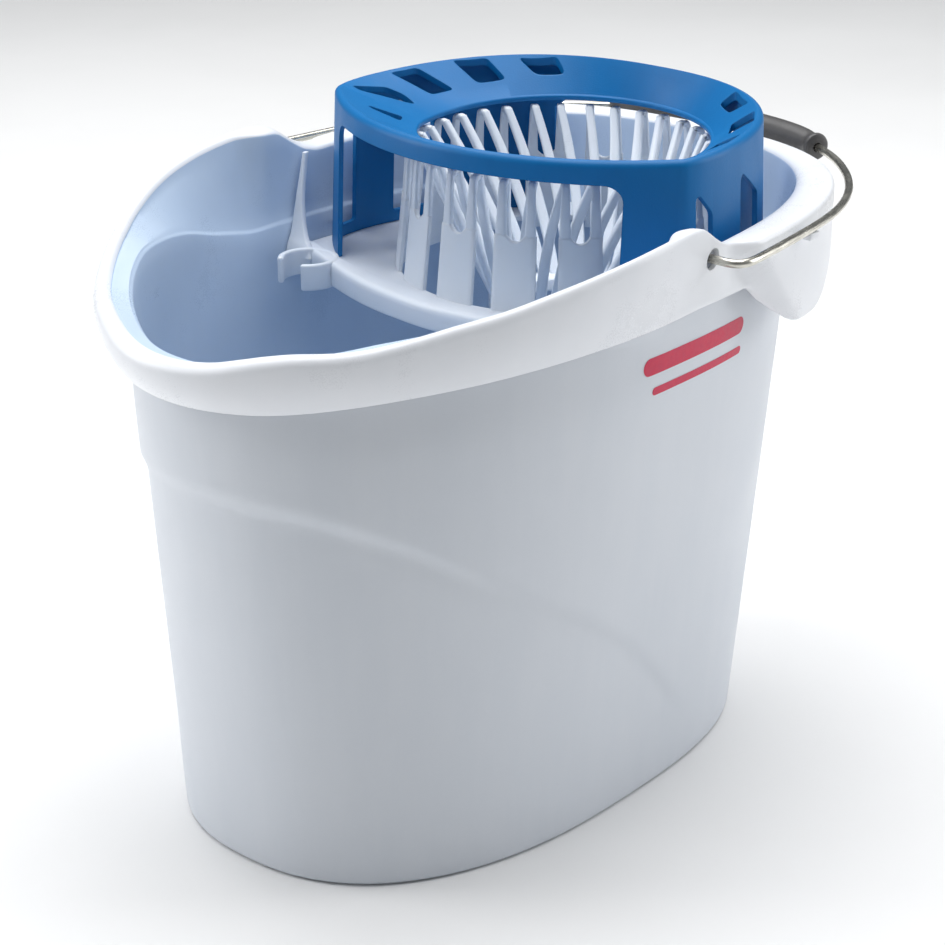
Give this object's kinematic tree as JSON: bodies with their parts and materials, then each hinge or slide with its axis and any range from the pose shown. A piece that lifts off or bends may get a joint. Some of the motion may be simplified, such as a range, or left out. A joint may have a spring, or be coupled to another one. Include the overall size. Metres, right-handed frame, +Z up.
{
  "type": "mop bucket with wringer",
  "caption": "Oval household mop bucket with a pouring lip, a wire bail with a tube grip, and a lift-out finger wringer under a funnel-shaped collar.",
  "frame": {"origin": "middle of the bucket's flat underside", "axes": "+Z up, X along the bucket with the pouring lip at -X and the wringer at +X, Y across it along the bail's hinge"},
  "size_m": [0.4116, 0.2998, 0.3191],
  "materials": {
    "bucket": "satin injection-moulded polypropylene",
    "wringer_basket": "satin injection-moulded polypropylene",
    "wringer_collar": "satin blue injection-moulded polypropylene with a fine grain",
    "bail_wire": "bright drawn wire",
    "handle_grip": "dark grey, slightly glossy"
  },
  "bodies": {
    "tub": {"bucket": "bucket"},
    "bail": {"bail_wire": "bail_wire", "handle_grip": "handle_grip"},
    "wringer": {"wringer_basket": "wringer_basket"},
    "collar": {"wringer_collar": "wringer_collar"}
  },
  "joints": [
    {"name": "bail_hinge", "type": "hinge", "parent": "tub", "child": "bail", "pos_m": [0.015, 0, 0.279], "axis": [0, -1, 0], "range_deg": [0, 180]},
    {"name": "wringer_lift_out", "type": "slide", "parent": "tub", "child": "wringer", "axis": [0, 0, 1], "range_m": [0, 0.12]},
    {"name": "collar_lift_off", "type": "slide", "parent": "wringer", "child": "collar", "axis": [0, 0, 1], "range_m": [0, 0.08]}
  ]
}
